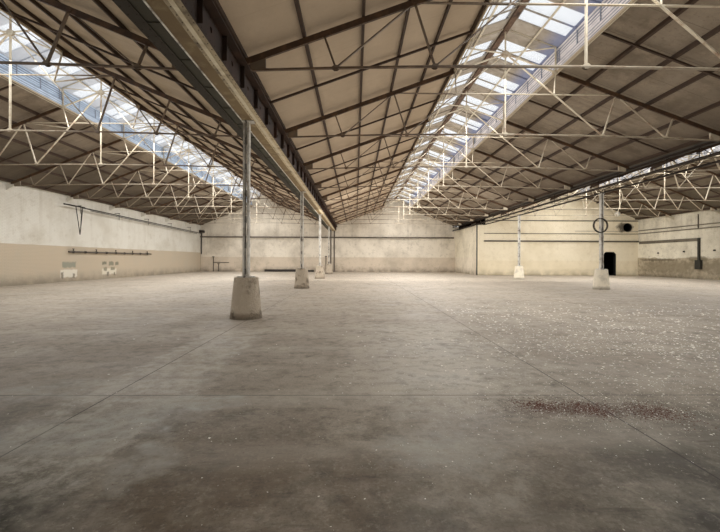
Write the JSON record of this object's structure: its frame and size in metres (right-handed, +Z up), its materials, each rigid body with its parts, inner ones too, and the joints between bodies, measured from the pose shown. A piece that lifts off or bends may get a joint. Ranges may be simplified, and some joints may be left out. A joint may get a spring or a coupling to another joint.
{
  "type": "half-scale three-aisle factory hall",
  "caption": "Empty single-storey factory hall: pitched roofs with ridge lanterns on steel trusses, lattice columns, valley girders and painted brick walls.",
  "frame": {"origin": "on the ground under the middle of the building", "axes": "+X across the aisles to the right, +Y along the ridges to the back wall, +Z up"},
  "size_m": [23.12, 26.32, 4.6601],
  "materials": {
    "concrete": "worn power-floated concrete, stained and chipped",
    "wall": "painted brickwork, cream above and dirty beige below",
    "plinth": "rough cast concrete, chipped",
    "column_steel": "old grey-cream paint over rust",
    "girder_steel": "dark brown paint, riveted",
    "casing": "cream paint, flaking",
    "gutter": "dull galvanised sheet",
    "truss_steel": "cream paint, rusty and dusty",
    "purlin_steel": "dark brown paint",
    "roof_board": "dusty fibre-cement boards",
    "louvre": "pale slats",
    "sheet": "weathered corrugated sheet",
    "clear_sheet": "cloudy translucent sheet",
    "ridge_cap": "rusty ridge capping",
    "pipe": "dark painted pipe",
    "rail": "grey painted rail",
    "duct": "dark grey enclosure"
  },
  "bodies": {
    "root": {"floor_slab": "concrete", "left_wall": "wall", "right_wall": "wall", "back_wall": "wall", "back_gables": "wall", "front_wall": "wall", "front_wall_over": "wall", "front_gables": "wall", "cross_wall": "wall", "cross_wall_over": "wall", "cross_gable": "wall", "room_side_wall": "wall", "plinths": "plinth", "left_columns": "column_steel", "right_columns": "column_steel", "column_ring": "pipe", "left_valley_girders": "girder_steel", "right_valley_girders": "girder_steel", "valley_casing": "casing", "valley_gutters": "gutter", "left_trusses": "truss_steel", "centre_trusses": "truss_steel", "right_trusses": "truss_steel", "left_purlins": "purlin_steel", "centre_purlins": "purlin_steel", "right_purlins": "purlin_steel", "left_roof": "roof_board", "centre_roof": "roof_board", "right_roof": "roof_board", "room_roof": "roof_board", "left_louvres": "louvre", "centre_louvres": "louvre", "right_louvres": "louvre", "lantern_boards": "sheet", "lantern_glass": "clear_sheet", "lantern_ridges": "ridge_cap", "eaves_gutters": "gutter", "outer_downpipes": "pipe", "valley_downpipes": "pipe", "back_wall_pipe": "pipe", "left_wall_pipe": "pipe", "cross_wall_pipes": "pipe", "right_wall_rails": "rail", "cable_tray": "rail", "wall_duct": "duct"}
  },
  "joints": []
}
